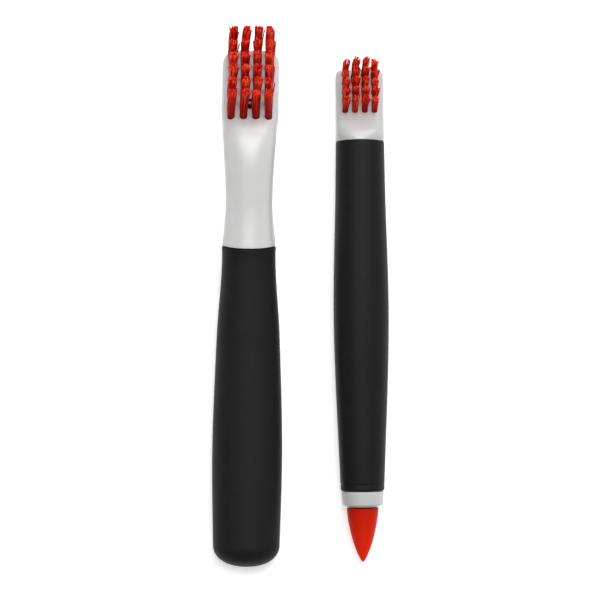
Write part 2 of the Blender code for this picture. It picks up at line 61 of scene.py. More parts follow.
# Sizes of one tilted head: its plate, and the rounding of its far corners and edges.
Head = namedtuple("Head", "width length tip_thickness tilt corner_inset corner_length edge")
# A tuft field's columns and rows, and the depth and radius of its tufts in the head.
Field = namedtuple("Field", "rows columns depth radius")

# ---- Sizes of the set, as in the CAD model -------------------------------------------------------
LARGE_PLACE = (-21.22 * MM, -105.05 * MM)
SMALL_PLACE = (24.44 * MM, -103.3 * MM)
LARGE_LAY_ANGLE = math.radians(-0.55)
SMALL_LAY_ANGLE = math.radians(0.43)
GAP = 0.3 * MM

LARGE_GRIP_LENGTH = 124.6 * MM
LARGE_GRIP_WIDTH = 27.5 * MM
LARGE_GRIP_THICKNESS = 20.6 * MM
LARGE_GRIP_WIDEST = 42.0 * MM
LARGE_TAPER_AT = 90.0 * MM
LARGE_TAPER_WIDTH = 24.7 * MM
LARGE_TAPER_THICKNESS = 19.0 * MM
LARGE_LIP_LENGTH = 2.5 * MM
LARGE_BUTT_WIDTH = 25.8 * MM
LARGE_BUTT_THICKNESS = 19.6 * MM
LARGE_BUTT_DOME = 8.4 * MM
LARGE_BUTT_SQUARENESS = 2.2
LARGE_COLLAR_WIDTH = 20.9 * MM
LARGE_COLLAR_THICKNESS = 17.0 * MM
LARGE_LEVEL_LENGTH = 33.0 * MM
LARGE_REST_HEIGHT = 9.5 * MM
LARGE_STEM_WIDTH = 12.4 * MM
LARGE_STEM_THICKNESS = 9.0 * MM
LARGE_STEM_START = 24.0 * MM
LARGE_NECK_LENGTH = 46.35 * MM
LARGE_NECK_BEND = 4.5 * MM
LARGE_WAIST_AT = 17.5 * MM
LARGE_WAIST_WIDTH = 18.2 * MM
LARGE_WAIST_THICKNESS = 13.4 * MM
LARGE_CREST_LENGTH = 14.0 * MM
LARGE_CREST_DROP = math.radians(5.0)
LARGE_CREST_WIDTH = 21.1 * MM
LARGE_CREST_THICKNESS = 12.2 * MM
LARGE_HEAD = Head(
    width=22.2 * MM,
    length=33.6 * MM,
    tip_thickness=6.2 * MM,
    tilt=math.radians(30),
    corner_inset=4.5 * MM,
    corner_length=6.0 * MM,
    edge=1.0 * MM,
)
LARGE_FIELD = Field(rows=6, columns=4, depth=3.6 * MM, radius=1.47 * MM)

SMALL_AXIS_HEIGHT = 8.6 * MM
PICK_LENGTH = 21.2 * MM
PICK_RADIUS = 6.2 * MM
# The ogive's radius at a share of its length is (1 - share ** SLIMNESS) ** BLUNTNESS of the full one.
PICK_SLIMNESS = 1.5
PICK_BLUNTNESS = 0.72
PICK_SHANK_RADIUS = 1.9 * MM
PICK_SHANK_PAST_COLLAR = 5.0 * MM
END_BOSS_RADIUS = 6.3 * MM
END_BOSS_LENGTH = 0.7 * MM
END_COLLAR_LENGTH = 5.6 * MM
END_COLLAR_RADIUS = 8.3 * MM
END_COLLAR_TIP_RADIUS = 7.9 * MM
SPIGOT_RADIUS = 3.6 * MM
SPIGOT_LENGTH = 9.0 * MM
SMALL_GRIP_LENGTH = 136.4 * MM
SMALL_GRIP_WIDTH = 21.7 * MM
SMALL_GRIP_THICKNESS = 20.4 * MM
SMALL_GRIP_WIDEST = 70.0 * MM
SMALL_GRIP_END_WIDTH = 17.2 * MM
SMALL_COLLAR_WIDTH = 19.0 * MM
SMALL_COLLAR_THICKNESS = 18.2 * MM
SMALL_FLARE_LENGTH = 19.0 * MM
SMALL_FLARE_SHARE = 1.03
SMALL_STEM_RADIUS = 5.3 * MM
SMALL_SCOOP_LENGTH = 8.0 * MM
SMALL_BACK_GAP = 0.5 * MM
SMALL_HEAD = Head(
    width=18.8 * MM,
    length=27.7 * MM,
    tip_thickness=4.6 * MM,
    tilt=math.radians(25),
    corner_inset=1.8 * MM,
    corner_length=3.2 * MM,
    edge=0.7 * MM,
)
SMALL_FIELD = Field(rows=5, columns=4, depth=2.8 * MM, radius=1.17 * MM)

# Places along each brush.
LARGE_LENGTH = LARGE_GRIP_LENGTH + LARGE_NECK_LENGTH + LARGE_HEAD.length
PICK_TO_GRIP = GAP + END_BOSS_LENGTH + END_COLLAR_LENGTH + GAP
SMALL_GRIP_START = PICK_LENGTH + PICK_TO_GRIP
SMALL_GRIP_END = SMALL_GRIP_START + SMALL_GRIP_LENGTH
SMALL_HEAD_START = SMALL_GRIP_END + GAP
SMALL_LENGTH = SMALL_HEAD_START + SMALL_HEAD.length

# ---- Finer shape ---------------------------------------------------------------------------------
RING_POINTS = 112
# The CAD model's coarser rings reach a little less far than their nominal half width.
RING_FIT = 0.994
SHARP_ANGLE = math.radians(32)
FILAMENT_SHARP_ANGLE = math.radians(50)

# How square a cross-section is: 2 is an ellipse, and a large value nears a rectangle.
ROUND = 2.0
GRIP_SQUARENESS = 2.25
NECK_SQUARENESS = 2.3
NECK_SQUARENESS_AT_CREST = 2.35
CREST_SQUARENESS = 3.6
HEAD_SQUARENESS = 6.0
CREST_STARTS = 32.0 * MM
HEAD_WIDENS_OVER = 6.0 * MM

CHAMFER_SLOPE = 0.62
SMALL_CHAMFER = 1.9 * MM
# A seam between rubber and plastic bows: its sides run ahead of its middle, or behind it.
SEAM_REACH = 7.0 * MM
LARGE_SEAM_BOW = 0.65 * MM
SMALL_SEAM_BOW = -0.45 * MM
GRIP_EDGE = 0.5 * MM
LARGE_NECK_EDGE = 0.25 * MM
SMALL_SHOULDER_EDGE = 0.12 * MM
SMALL_SHOULDER_TUCK = 0.2 * MM
# The first ring of the butt's dome, as a share of the dome's length, just short of a point.
BUTT_FIRST_RING = 0.0002
# The rolled lip at the wide grip's mouth.
LIP_RISE = 0.21 * MM
LIP_FROM_END = 1.1 * MM
LIP_REACH = 0.8 * MM
# The crest of the slim head's shoulder, just past the grip.
SHOULDER_CREST_AT = 1.3 * MM
SHOULDER_CREST_DROP = 0.1 * MM
# The shallow groove that marks off a bead at the slim grip's lower end.
BEAD_LENGTH = 2.3 * MM
BEAD_GROOVE_DEPTH = 0.14 * MM
BEAD_GROOVE_REACH = 0.45 * MM
BEAD_FINE_LENGTH = 6.0 * MM

BORE_RADIUS = PICK_SHANK_RADIUS + GAP
BOSS_FOOT_EXTRA = 0.1 * MM
BOSS_TIP_GAP = 0.2 * MM
BOSS_ROUNDING = 0.15 * MM
COLLAR_TIP_ROUNDING = 0.8 * MM
COLLAR_ROUNDING = 0.25 * MM
PICK_ROUNDING = 0.2 * MM
PICK_STEPS = 44
# Above 1, the pick's rings crowd towards its point.
PICK_CROWDING = 1.6

HOLE_EASE = 0.06 * MM
COUNTERSINK = 0.08 * MM
PEG_POINTS = 24
PEG_FLARE = 0.6 * MM
PEG_TOP = 0.52 * MM
# The moulding gate's oval recess and a smaller one beside it, as (row on the face, stretch along it).
GATES = ((1.8, 1.7), (2.27, 0.75))
GATE_RADIUS = 0.75 * MM
GATE_DEPTH = 3.0 * MM
RECESS_REACH = 1.05 * GATE_RADIUS
RECESS_MARGIN = 0.02 * MM

# ---- Bristles ------------------------------------------------------------------------------------
# How one brush's tufts are filled.
# ends, filament: how many filament ends a tuft has, and a filament's radius.
# lean, wild, curl: the spread of each tuft's slope, of each filament's own, and of its curl.
# stray: the share of filaments that slope much more than the others.
# ragged, dome, flare: how uneven and how domed the cut is, and how much wider a tuft is at its tip.
# push, gather: the slope that all tufts share, and how much the columns lean together.
# longer, last_row: how much longer tufts are than the CAD's, in the other rows and in the last one.
# narrow: how much lower the last row's tufts are cut at their sides.
Fill = namedtuple(
    "Fill", "ends filament lean wild curl stray ragged dome flare push gather longer last_row narrow"
)
LARGE_FILL = Fill(
    ends=38, filament=0.235 * MM, lean=0.012, wild=0.014, curl=0.01, stray=0.03, ragged=1.2 * MM,
    dome=1.5 * MM, flare=1.26, push=0.041, gather=0.0165, longer=0.4 * MM, last_row=1.3 * MM,
    narrow=1.5 * MM,
)
SMALL_FILL = Fill(
    ends=30, filament=0.21 * MM, lean=0.014, wild=0.018, curl=0.014, stray=0.03, ragged=1.0 * MM,
    dome=0.8 * MM, flare=1.28, push=0.06, gather=0.01, longer=0.4 * MM, last_row=0.9 * MM,
    narrow=0.8 * MM,
)
FILAMENT_SIDES = 6
# The ends keep clear of the hole's wall by a share of a filament, and each turns a little at random.
WALL_CLEARANCE = 0.7
DISORDER = 0.12
FILAMENT_STEPS = 9
FLARE_SPREAD = (0.9, 1.12)
STRAY_LEAN = 3.0
# How early along a filament it opens out, and how late it leans over, as powers of its length's share.
OPENS_EARLY = 0.85
LEANS_LATE = 1.6
CUT_WIDTH = 0.55
CUT_ROUNDING = 0.12 * MM
# The fold in the hole: filaments draw together, halfway down and again just above the fold.
THROAT_WIDTH, THROAT_HEIGHT = 0.9, 0.55
SHOULDER_WIDTH, SHOULDER_LIFT = 0.55, 0.25 * MM
FOLD_WIDTH = 0.3
FOLD_SLIMNESS = 0.95
# The fold's height in the hole: this many filament radii, and up to this many millimetres more.
FOLD_LIFT = 1.3
FOLD_SPREAD = 0.25
ANCHOR_THICKNESS = 0.4 * MM
ANCHOR_OVERHANG = 0.2 * MM
ANCHOR_HEIGHT = 1.3 * MM
ANCHOR_AT = 1.5 * MM
ANCHOR_BEVEL = 0.08 * MM
RANDOM_SEED = 7
# The slices at a CAD tuft's foot and tip whose middles give its axis.
FOOT_SLICE = 0.2 * MM
TIP_SLICE = 0.02 * MM


# ---- Curves --------------------------------------------------------------------------------------
def smooth_through(points, at):
    """A smooth curve through (place, value) points, which never overshoots them."""
    places = [p for p, _ in points]
    steps = [(b[1] - a[1]) / (b[0] - a[0]) for a, b in zip(points, points[1:])]
    slopes = [steps[0]]
    for a, b in zip(steps, steps[1:]):
        slopes.append(0.0 if a * b <= 0 else 2 * a * b / (a + b))
    slopes.append(steps[-1])
    at = min(max(at, places[0]), places[-1])
    i = max(k for k in range(len(points) - 1) if places[k] <= at)
    span = places[i + 1] - places[i]
    t = (at - places[i]) / span
    return (
        (2 * t**3 - 3 * t**2 + 1) * points[i][1]
        + (t**3 - 2 * t**2 + t) * span * slopes[i]
        + (3 * t**2 - 2 * t**3) * points[i + 1][1]
        + (t**3 - t**2) * span * slopes[i + 1]
    )


def walk(stretches, along):
    """The (y, z, pitch) reached by a distance along straight or bent (length, turn) stretches."""
    y = z = pitch = 0.0
    for length, turn in stretches:
        part = min(max(along, 0.0), length)
        bend = turn * part / length
        chord = part if abs(bend) < 1e-9 else part * math.sin(bend / 2) / (bend / 2)
        y += chord * math.cos(pitch + bend / 2)
        z += chord * math.sin(pitch + bend / 2)
        pitch += bend
        along -= part
    return y, z, pitch


def spread(start, end, count):
    """Evenly spaced values from start to end, both included."""
    return [start + (end - start) * k / (count - 1) for k in range(count)]


def quarter(length, count):
    """Values from 0 to a length that crowd towards the length, as round a quarter circle."""
    return [length * math.sin(math.pi / 2 * k / (count - 1)) for k in range(count)]


def in_order(distances, downwards=False):
    """The distances from 0 up, each once, in order."""
    return sorted({round(max(d, 0.0), 7) for d in distances}, reverse=downwards)


def eased(share):
    """A share from 0 to 1 that starts and ends gently."""
    return share * share * (3 - 2 * share)


def seam_bow(amount, from_seam):
    """How far a seam's sides run ahead of its middle, dying away on both sides of it."""
    return amount * math.exp(-((from_seam / SEAM_REACH) ** 2))


def squeeze(from_end, inset, length):
    """How far a rounding of this inset and length draws a shape in, at a distance from its end."""
    if from_end >= length:
        return 0.0
    return inset * (1 - math.sqrt(max(0.0, 1 - ((length - from_end) / length) ** 2)))


def circle(radius, count):
    return [
        (radius * math.cos(2 * math.pi * k / count), radius * math.sin(2 * math.pi * k / count))
        for k in range(count)
    ]


def rounded(points, at, radius, steps=5):
    """The outline with the corner at an index rounded."""
    before, corner, after = (Vector(points[i]) for i in (at - 1, at, at + 1))
    a = corner + (before - corner).normalized() * radius
    b = corner + (after - corner).normalized() * radius
    arc = []
    for k in range(steps + 1):
        t = k / steps
        p = a.lerp(corner, t).lerp(corner.lerp(b, t), t)
        arc.append((p.x, p.y))
    return list(points[:at]) + arc + list(points[at + 1 :])


# ---- Meshes --------------------------------------------------------------------------------------
def ring(y, z, pitch, half_width, half_height, square, flat=math.inf, chamfer=0.0, bow=0.0):
    """A squared ellipse across the brush.

    Its back is cut flat at a depth, its top edges are chamfered over a width, and its sides run
    ahead of its middle by the bow.
    """
    power = 2 / square
    found = []
    for k in range(RING_POINTS):
        angle = 2 * math.pi * (k + 0.5) / RING_POINTS
        c, s = math.cos(angle), math.sin(angle)
        across = RING_FIT * half_width * math.copysign(abs(c) ** power, c)
        up = max(RING_FIT * half_height * math.copysign(abs(s) ** power, s), -flat)
        drop = max(0.0, abs(across) - (half_width - chamfer)) * CHAMFER_SLOPE
        up = min(up, half_height - drop)
        ahead = bow * (across / half_width) ** 2 - up * math.sin(pitch)
        found.append(Vector((across, y + ahead, z + up * math.cos(pitch))))
    return found


def bridge(bm, near, far):
    """Quads between two loops with as many vertices."""
    for k in range(len(near)):
        j = (k + 1) % len(near)
        bm.faces.new((near[k], near[j], far[j], far[k]))


def to_mesh(bm, name):
    bmesh.ops.recalc_face_normals(bm, faces=bm.faces)
    mesh = bpy.data.meshes.new(name)
    bm.to_mesh(mesh)
    bm.free()
    return mesh


def smoothed(mesh, sharp=SHARP_ANGLE):
    mesh.shade_smooth()
    mesh.set_sharp_from_angle(angle=sharp)
    return mesh


def skin(name, rings, closed=False):
    """A skin over rings, capped at both ends, or closed from the last ring to the first."""
    bm = bmesh.new()
    loops = [[bm.verts.new(p) for p in r] for r in rings]
    for near, far in zip(loops, loops[1:]):
        bridge(bm, near, far)
    if closed:
        bridge(bm, loops[-1], loops[0])
    else:
        bm.faces.new(loops[0])
        bm.faces.new(loops[-1])
    return smoothed(to_mesh(bm, name))


def lathe(name, profile):
    """A solid turned about the -Y axis from (radius, distance) points.

    A profile that has no point on the axis is closed from its last point to its first.
    """
    bm = bmesh.new()
    loops = []
    for radius, far in profile:
        on_axis = radius < 1e-7
        outline = [(0, 0)] if on_axis else circle(radius, RING_POINTS)
        loops.append([bm.verts.new((x, -far, z)) for x, z in outline])
    pairs = list(zip(loops, loops[1:]))
    if len(loops[0]) > 1 and len(loops[-1]) > 1:
        pairs.append((loops[-1], loops[0]))
    for a, b in pairs:
        for k in range(RING_POINTS):
            j = (k + 1) % RING_POINTS
            corners = (a[k % len(a)], a[j % len(a)], b[j % len(b)], b[k % len(b)])
            bm.faces.new(list(dict.fromkeys(corners)))
    return smoothed(to_mesh(bm, name))


def hole_pegs(holes):
    """Cutters for blind round holes with a small countersink.

    Each hole is a (matrix, radius, depth), with the matrix on the face and its Z out of the hole.
    """
    bm = bmesh.new()
    for matrix, radius, depth in holes:
        profile = (
            (radius, -depth),
            (radius, -COUNTERSINK),
            (radius + COUNTERSINK, 0.0),
            (radius + PEG_FLARE, PEG_TOP),
        )
        loops = [
            [bm.verts.new(matrix @ Vector((x, y, z))) for x, y in circle(r, PEG_POINTS)]
            for r, z in profile
        ]
        for near, far in zip(loops, loops[1:]):
            bridge(bm, near, far)
        bm.faces.new(list(reversed(loops[0])))
        bm.faces.new(loops[-1])
    return to_mesh(bm, "pegs")


def carve(mesh, name, cutter_mesh):
    """The mesh less the cutter, by one exact Boolean, without materials."""
    target = bpy.data.objects.new("carving", mesh)
    cutter = bpy.data.objects.new("cutter", cutter_mesh)
    for item in (target, cutter):
        bpy.context.scene.collection.objects.link(item)
    step = target.modifiers.new("cut", "BOOLEAN")
    step.operation = "DIFFERENCE"
    step.solver = "EXACT"
    step.object = cutter
    bpy.context.view_layer.update()
    graph = bpy.context.evaluated_depsgraph_get()
    made = bpy.data.meshes.new_from_object(target.evaluated_get(graph))
    made.name = name
    made.materials.clear()
    for item in (target, cutter):
        bpy.data.objects.remove(item)
    return smoothed(made)


def place(name, mesh, lay, body, material, slot, *nodes):
    """Lay a mesh in its place and let it ride on a body, instead of the CAD nodes it stands for."""
    mesh.transform(lay)
    made = bpy.data.objects.new(name, mesh)
    bpy.context.scene.collection.objects.link(made)
    if not mesh.materials:
        mesh.materials.append(material)
    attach(made, body)
    if nodes:
        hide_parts(*nodes)


# ---- Where the tufts stand -----------------------------------------------------------------------
def tuft_axis(node):
    """Bottom centre, unit direction and length of a CAD tuft, from its own vertices."""
    points = [v.co.copy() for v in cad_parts[node].data.vertices]
    middle = sum(points, Vector()) / len(points)
    far = max(points, key=lambda p: (p - middle).length)
    direction = (far - middle).normalized()
    if direction.z < 0:
        direction = -direction
    # The farthest vertex is only near the axis, so the ends' centres mend the direction step by step.
    for _ in range(6):
        spans = [(p - middle).dot(direction) for p in points]
        low, high = min(spans), max(spans)
        bottom = [p for p, s in zip(points, spans) if s < low + FOOT_SLICE]
        top = [p for p, s in zip(points, spans) if s > high - TIP_SLICE]
        foot = sum(bottom, Vector()) / len(bottom)
        tip = sum(top, Vector()) / len(top)
        direction = (tip - foot).normalized()
    return foot, direction, (tip - foot).length


def tuft_axes(prefix, field):
    """Each tuft's axis by its (row, column)."""
    return {
        (row, column): tuft_axis(f"{prefix}_tuft_r{row}_c{column}")
        for row in range(1, field.rows + 1)
        for column in range(1, field.columns + 1)
    }


def square_to(direction):
    """Two directions square to a tuft's own: one level across the brush, one along the face."""
    across = Vector((1, 0, 0))
    side = (across - direction * across.dot(direction)).normalized()
    return side, direction.cross(side)


def turned_to(direction):
    side, front = square_to(direction)
    return Matrix((side, front, direction)).transposed().to_4x4()


def on_face(foot, direction, depth, laid):
    """A matrix where a tuft leaves the face, Z along the tuft, in the brush's own frame."""
    return laid.inverted() @ Matrix.Translation(foot + direction * (depth - GAP)) @ turned_to(direction)


def tuft_holes(axes, field, laid):
    return [
        (on_face(foot, direction, field.depth, laid), field.radius + HOLE_EASE, field.depth)
        for foot, direction, _ in axes.values()
    ]


# ---- Bristles' meshes ----------------------------------------------------------------------------
class Tuft:
    """One tuft of filaments, each folded in half in the hole, so that both its ends stand up.

    The bundle opens a little towards its tip. A place in it is (q, s): q across the tuft, and s up
    it from the bottom of the hole.
    """

    def __init__(self, axis, row, column, field, fill, rng):
        self.foot, self.direction, length = axis
        self.side, self.front = square_to(self.direction)
        self.radius = field.radius
        self.depth = field.depth - GAP
        self.free = length - self.depth
        self.fill = fill
        self.rng = rng
        outermost = row == field.rows
        self.extra = fill.last_row if outermost else fill.longer
        self.narrow = fill.narrow if outermost else 0.0
        self.ends = self.end_places()
        push = fill.push + fill.gather * ((field.columns + 1) / 2 - column)
        self.lean = Vector((push + rng.gauss(0, fill.lean), rng.gauss(0, fill.lean)))
        self.flare = fill.flare * rng.uniform(*FLARE_SPREAD)

    def end_places(self):
        """Places spread evenly over the hole in a spiral, with a little disorder."""
        golden = math.pi * (3 - math.sqrt(5))
        radius = self.radius - WALL_CLEARANCE * self.fill.filament
        found = []
        for k in range(self.fill.ends):
            r = radius * math.sqrt((k + 0.5) / self.fill.ends)
            a = k * golden + self.rng.uniform(-DISORDER, DISORDER)
            found.append(Vector((r * math.cos(a), r * math.sin(a))))
        return found

    def pairs(self):
        """The ends of each filament: one on the left half of the hole and one on the right."""
        left = sorted([p for p in self.ends if p.x < 0], key=lambda p: p.y)
        right = sorted([p for p in self.ends if p.x >= 0], key=lambda p: p.y)
        while len(left) > len(right):
            right.append(left.pop())
        while len(right) > len(left):
            left.append(right.pop())
        return zip(left, right)

    def world(self, q, s):
        return self.foot + self.side * q.x + self.front * q.y + self.direction * s

    def reach_of(self, p, lean):
        """How far a filament stands out of its hole: a domed and ragged cut, inside the CAD's box."""
        fill = self.fill
        reach = self.free + self.extra - self.rng.random() ** 2 * fill.ragged
        reach -= fill.dome * (p.length / self.radius) ** 2
        reach -= self.narrow * (p.x / self.radius) ** 2
        tip = self.world(p * self.flare + lean * reach, self.depth + reach)
        over_y = (tip.y + fill.filament - cad_box[1][1]) / self.direction.y
        over_z = (tip.z + fill.filament - cad_box[1][2]) / self.direction.z
        over = max(over_y, over_z)
        if over > 0:
            reach -= over + self.rng.random() ** 2 * fill.ragged
        return reach

    def path_up(self, p):
        """The (q, s, share) places of one end of a filament, from the face to its cut."""
        fill, rng = self.fill, self.rng
        own = Vector((rng.gauss(0, fill.wild), rng.gauss(0, fill.wild)))
        curl = Vector((rng.gauss(0, fill.curl), rng.gauss(0, fill.curl)))
        if rng.random() < fill.stray:
            own = own * STRAY_LEAN
        lean = self.lean + own
        reach = self.reach_of(p, lean)
        path = []
        for k in range(FILAMENT_STEPS + 1):
            t = k / FILAMENT_STEPS
            q = p * (1 + (self.flare - 1) * t**OPENS_EARLY) + lean * reach * t**LEANS_LATE
            q = q + curl * math.sin(math.pi * t) * reach
            path.append((q, self.depth + t * reach, t))
        return path

    def upright(self, path):
        """The rings of one end, as (place, share, width), with its cut end rounded."""
        rings = [(self.world(q, s), t, 1.0) for q, s, t in path[:-1]]
        q, s, t = path[-1]
        rings.append((self.world(q, s - CUT_ROUNDING), t, 1.0))
        rings.append((self.world(q, s), t, CUT_WIDTH))
        return rings

    def fold(self, a, b):
        """The rings in the hole, down from one end of a filament to its fold and up to the other."""
        mid = (a + b) / 2
        bottom = self.fill.filament * FOLD_LIFT + self.rng.uniform(0, FOLD_SPREAD) * MM

        def throat(p):
            return self.world(p * THROAT_WIDTH, self.depth * THROAT_HEIGHT), 0.0, 1.0

        def shoulder(p):
            q = Vector((p.x * SHOULDER_WIDTH, (p.y + mid.y) / 2))
            return self.world(q, bottom + SHOULDER_LIFT), 0.0, FOLD_SLIMNESS

        lowest = self.world(Vector((mid.x * FOLD_WIDTH, mid.y)), bottom), 0.0, FOLD_SLIMNESS
        return [throat(a), shoulder(a), lowest, shoulder(b), throat(b)]

    def tube(self, bm, rings, shade, tint, rise):
        """One filament round its rings, which keeps its random shade and each ring's share of the length,
        from which the nylon paints shade low down and a highlight at the cut.
        """
        loops = []
        last = len(rings) - 1
        for i, (at, share, width) in enumerate(rings):
            before = rings[max(i - 1, 0)][0]
            after = rings[min(i + 1, last)][0]
            along = (after - before).normalized()
            u = along.cross(self.front)
            if u.length < 1e-3:
                u = along.cross(self.side)
            u.normalize()
            v = along.cross(u)
            loop = []
            for k in range(FILAMENT_SIDES):
                a = 2 * math.pi / FILAMENT_SIDES * k
                out = (u * math.cos(a) + v * math.sin(a)) * self.fill.filament * width
                vert = bm.verts.new(at + out)
                vert[tint] = shade
                vert[rise] = share
                loop.append(vert)
            loops.append(loop)
        for near, far in zip(loops, loops[1:]):
            bridge(bm, near, far)
        bm.faces.new(loops[0])
        bm.faces.new(loops[-1])

    def mesh(self, name):
        bm = bmesh.new()
        tint = bm.verts.layers.float.new("tint")
        # The rise layer feeds the nylon's painted shade at a filament's foot and its painted highlight at
        # the cut end.
        rise = bm.verts.layers.float.new("rise")
        for a, b in self.pairs():
            shade = self.rng.random()
            up_a, up_b = self.path_up(a), self.path_up(b)
            rings = self.upright(up_a)[::-1] + self.fold(a, b) + self.upright(up_b)
            self.tube(bm, rings, shade, tint, rise)
        return smoothed(to_mesh(bm, name), FILAMENT_SHARP_ANGLE)

    def anchor(self, name):
        """A flat piece of wire pressed across the hole, over the fold of the filaments."""
        bm = bmesh.new()
        bmesh.ops.create_cube(bm, size=1.0)
        size = (ANCHOR_THICKNESS, 2 * self.radius + ANCHOR_OVERHANG, ANCHOR_HEIGHT)
        bmesh.ops.scale(bm, vec=size, verts=bm.verts)
        bmesh.ops.bevel(
            bm, geom=list(bm.edges), offset=ANCHOR_BEVEL, segments=2, affect="EDGES", profile=0.5
        )
        at = Matrix.Translation(self.foot + self.direction * ANCHOR_AT)
        bmesh.ops.transform(bm, matrix=at @ turned_to(self.direction), verts=bm.verts)
        return smoothed(to_mesh(bm, name))


# ---- Materials -----------------------------------------------------------------------------------
class Nodes:
    """A material with a Principled shader, and short ways to add what feeds it."""

    def __init__(self, name, colour, roughness, specular=0.5):
        self.material = bpy.data.materials.new(name)
        self.material.use_nodes = True
        self.tree = self.material.node_tree
        self.shader = self.tree.nodes["Principled BSDF"]
        self.shader.inputs["Base Color"].default_value = (*colour, 1)
        self.shader.inputs["Roughness"].default_value = roughness
        self.shader.inputs["Specular IOR Level"].default_value = specular
        self.coords = self.add("ShaderNodeTexCoord").outputs["Object"]

    def add(self, kind, **values):
        node = self.tree.nodes.new(kind)
        for key, value in values.items():
            setattr(node, key, value)
        return node

    def join(self, out, into):
        self.tree.links.new(out, into)

    def colour(self, out):
        self.join(out, self.shader.inputs["Base Color"])

    def roughness(self, scale, detail, low, high):
        """Roughness that varies with a noise between two values."""
        self.join(self.span(self.noise(scale, detail), low, high), self.shader.inputs["Roughness"])

    def noise(self, scale, detail, roughness=0.5):
        node = self.add("ShaderNodeTexNoise")
        node.inputs["Scale"].default_value = scale
        node.inputs["Detail"].default_value = detail
        node.inputs["Roughness"].default_value = roughness
        self.join(self.coords, node.inputs["Vector"])
        return node.outputs["Fac"]

    def ramp(self, fac, *stops):
        node = self.add("ShaderNodeValToRGB")
        while len(node.color_ramp.elements) < len(stops):
            node.color_ramp.elements.new(0.5)
        for element, (at, colour) in zip(node.color_ramp.elements, stops):
            element.position = at
            element.color = (*colour, 1)
        self.join(fac, node.inputs["Fac"])
        return node.outputs["Color"]

    def span(self, fac, low, high, from_low=0.3, from_high=0.7):
        node = self.add("ShaderNodeMapRange")
        node.inputs["From Min"].default_value = from_low
        node.inputs["From Max"].default_value = from_high
        node.inputs["To Min"].default_value = low
        node.inputs["To Max"].default_value = high
        self.join(fac, node.inputs["Value"])
        return node.outputs["Result"]

    def multiply_add(self, out, factor, added):
        node = self.add("ShaderNodeMath", operation="MULTIPLY_ADD")
        self.join(out, node.inputs[0])
        node.inputs[1].default_value = factor
        self.join(added, node.inputs[2])
        return node.outputs["Value"]

    def attribute(self, name):
        node = self.add("ShaderNodeAttribute")
        node.attribute_name = name
        return node.outputs["Fac"]

    def bump(self, height, strength, distance):
        node = self.add("ShaderNodeBump")
        node.inputs["Strength"].default_value = strength
        node.inputs["Distance"].default_value = distance
        self.join(height, node.inputs["Height"])
        self.join(node.outputs["Normal"], self.shader.inputs["Normal"])


def white_plastic(name, colour, roughness):
    """A satin moulding with a faint cloud in its colour."""
    m = Nodes(name, colour, roughness)
    darker = tuple(c * 0.97 for c in colour)
    m.colour(m.ramp(m.noise(scale=60, detail=2), (0.35, darker), (0.65, colour)))
    m.roughness(scale=900, detail=3, low=roughness - 0.03, high=roughness + 0.04)
    m.bump(m.noise(scale=1400, detail=3), strength=0.06, distance=0.08 * MM)
    return m.material


def soft_rubber(name, colour, roughness, specular):
    """A matte rubber with a fine grain."""
    m = Nodes(name, colour, roughness, specular)
    lighter = tuple(c * 1.35 for c in colour)
    m.colour(m.ramp(m.noise(scale=220, detail=4, roughness=0.6), (0.3, colour), (0.75, lighter)))
    m.roughness(scale=1500, detail=2, low=roughness - 0.05, high=roughness + 0.06)
    m.bump(m.noise(scale=3600, detail=4, roughness=0.6), strength=0.35, distance=0.05 * MM)
    return m.material


def nylon(name, *colours):
    """Filaments that differ from one another, darkened by painted shade towards their feet and made
    palest at their cut ends by a painted highlight.
    """
    m = Nodes(name, colours[1], roughness=0.45, specular=0.05)
    # The rise, a ring's share of its filament's length, paints shade low in the tuft and a highlight at
    # the cut end; the tint adds each filament's random tone, which also stands in for the shade among the
    # filaments.
    height = m.span(m.attribute("rise"), 0.12, 0.5, from_low=0.0, from_high=1.0)
    tone_and_painted_light = m.multiply_add(m.attribute("tint"), 0.5, height)
    places = (0.05, 0.4, 0.7, 0.98)
    m.colour(m.ramp(tone_and_painted_light, *zip(places, colours)))
    m.roughness(scale=2600, detail=2, low=0.36, high=0.5)
    m.bump(m.noise(scale=5200, detail=2), strength=0.15, distance=0.03 * MM)
    return m.material


def pick_plastic(name, deep, bright):
    """A red plastic with painted light that brightens it towards the thin point."""
    m = Nodes(name, bright, roughness=0.42, specular=0.06)
    split = m.add("ShaderNodeSeparateXYZ")
    m.join(m.coords, split.inputs["Vector"])
    base, point = SMALL_PLACE[1] + PICK_LENGTH, SMALL_PLACE[1]
    # Painted light: the colour brightens from the pick's base to its point.
    along = m.span(split.outputs["Y"], 0.1, 0.9, from_low=base, from_high=point)
    cloud_and_painted_light = m.multiply_add(m.noise(scale=160, detail=3), 0.2, along)
    m.colour(m.ramp(cloud_and_painted_light, (0.1, deep), (1.0, bright)))
    m.roughness(scale=1200, detail=3, low=0.38, high=0.48)
    m.bump(m.noise(scale=1800, detail=3), strength=0.08, distance=0.06 * MM)
    return m.material


def wire(name):
    m = Nodes(name, (0.55, 0.45, 0.25), roughness=0.35)
    m.shader.inputs["Metallic"].default_value = 1.0
    m.roughness(scale=3000, detail=2, low=0.28, high=0.45)
    return m.material


LARGE_WHITE = white_plastic("large_white_plastic_look", (0.56, 0.56, 0.555), roughness=0.3)
SMALL_WHITE = white_plastic("small_white_plastic_look", (0.50, 0.505, 0.50), roughness=0.3)
LARGE_RUBBER = soft_rubber("large_rubber_look", (0.0065, 0.0066, 0.007), roughness=0.56, specular=0.16)
SMALL_RUBBER = soft_rubber("small_rubber_look", (0.0062, 0.0062, 0.0066), roughness=0.52, specular=0.14)
